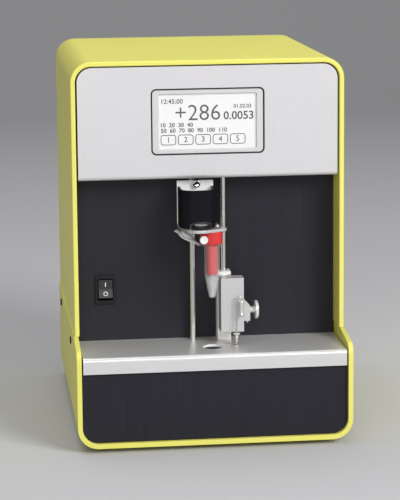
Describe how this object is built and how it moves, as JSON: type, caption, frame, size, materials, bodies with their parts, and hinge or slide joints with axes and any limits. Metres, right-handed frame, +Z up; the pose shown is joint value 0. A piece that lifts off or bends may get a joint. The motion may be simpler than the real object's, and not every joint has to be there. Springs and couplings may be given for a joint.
{
  "type": "cryoscopic osmometer",
  "caption": "Benchtop freezing-point osmometer: yellow cabinet, open bay with shelf, sliding measuring head over a cooling well, seeding-needle carriage, display above.",
  "frame": {"origin": "on the table under the middle of the cabinet's footprint", "axes": "+Z up, +X to the right of someone facing the front, the front with the bay and display looks to -Y"},
  "size_m": [0.202, 0.24, 0.2785],
  "materials": {
    "yellow_paint": "satin powder coat, lemon yellow",
    "black_paint": "satin black anodised or painted sheet",
    "grey_paint": "light grey paint",
    "zinc_plate": "zinc plated sheet",
    "satin_aluminium": "satin anodised",
    "steel": "ground and polished stainless",
    "chrome": "polished nickel or chrome plate",
    "black_plastic": "satin black",
    "rubber": "matte",
    "red_plastic": "gloss red",
    "white_plastic": "off white",
    "clear_plastic": "clear to milky moulded plastic",
    "board_green": "green solder mask"
  },
  "bodies": {
    "cabinet": {"base_shell": "yellow_paint", "hood": "yellow_paint", "bay_panel": "black_paint", "lower_panel": "black_paint", "rear_panel": "grey_paint", "chassis": "zinc_plate", "shelf_angle_left": "zinc_plate", "shelf_angle_right": "zinc_plate", "serial_port": "zinc_plate", "power_supply": "zinc_plate", "display_panel": "satin_aluminium", "shelf": "satin_aluminium", "rod_bridge": "satin_aluminium", "rod_anchor": "satin_aluminium", "needle_post": "satin_aluminium", "cold_block": "satin_aluminium", "heat_sink": "satin_aluminium", "rod_left": "steel", "rod_right": "steel", "needle_ring": "steel", "side_screw_left_front": "black_plastic", "side_screw_left_rear": "black_plastic", "side_screw_right_front": "black_plastic", "side_screw_right_rear": "black_plastic", "display_gasket": "black_plastic", "switch_body": "black_plastic", "mains_inlet": "black_plastic", "fan_frame": "black_plastic", "foot_left_front": "rubber", "foot_left_rear": "rubber", "foot_right_front": "rubber", "foot_right_rear": "rubber", "screen_module": "white_plastic", "cooler_plate": "white_plastic", "display_window": "clear_plastic", "main_board": "board_green"},
    "measuring_head": {"head_bracket": "satin_aluminium", "head_bush": "satin_aluminium", "head_cover": "black_plastic", "motor_base": "black_plastic", "motor_cap": "chrome", "plate_screw": "chrome", "tab_screw": "chrome", "probe_collar": "red_plastic", "probe_sleeve": "red_plastic", "thermistor_probe": "steel", "sample_tube": "clear_plastic"},
    "lid": {"tube_lid": "clear_plastic"},
    "probe_clamp": {"clamp_screw": "white_plastic"},
    "needle_carriage": {"needle_block": "satin_aluminium", "needle_arm": "satin_aluminium", "needle_chuck": "chrome", "needle": "steel", "needle_nozzle": "steel", "set_screw": "steel"},
    "thumb": {"thumb_screw": "chrome"},
    "rocker": {"switch_rocker": "black_plastic"},
    "fuse_tray": {"fuse_drawer": "black_plastic"},
    "fan": {"fan_rotor": "black_plastic"}
  },
  "joints": [
    {"name": "head_slide", "type": "slide", "parent": "cabinet", "child": "measuring_head", "axis": [0, 0, 1], "range_m": [-0.06, 0]},
    {"name": "lid_hinge", "type": "hinge", "parent": "measuring_head", "child": "lid", "pos_m": [-0.00796, -0.09101, 0.1446], "axis": [0.4226, 0.9063, 0], "range_deg": [-50, 0]},
    {"name": "clamp_turn", "type": "hinge", "parent": "measuring_head", "child": "probe_clamp", "pos_m": [-0.0061, -0.102, 0.1504], "axis": [0, 1, 0], "range_deg": [-180, 180]},
    {"name": "carriage_slide", "type": "slide", "parent": "cabinet", "child": "needle_carriage", "axis": [0, 0, 1], "range_m": [0, 0.02]},
    {"name": "thumb_turn", "type": "hinge", "parent": "needle_carriage", "child": "thumb", "pos_m": [0.0292, -0.0854, 0.0946], "axis": [1, 0, 0], "range_deg": [-180, 180]},
    {"name": "rocker_hinge", "type": "hinge", "parent": "cabinet", "child": "rocker", "pos_m": [-0.0748, -0.0608, 0.1083], "axis": [1, 0, 0], "range_deg": [0, 18]},
    {"name": "fuse_tray_slide", "type": "slide", "parent": "cabinet", "child": "fuse_tray", "axis": [0, 1, 0], "range_m": [0, 0.017]},
    {"name": "fan_spin", "type": "hinge", "parent": "cabinet", "child": "fan", "pos_m": [0.042, 0.103, 0.1535], "axis": [0, 1, 0], "continuous": true}
  ]
}
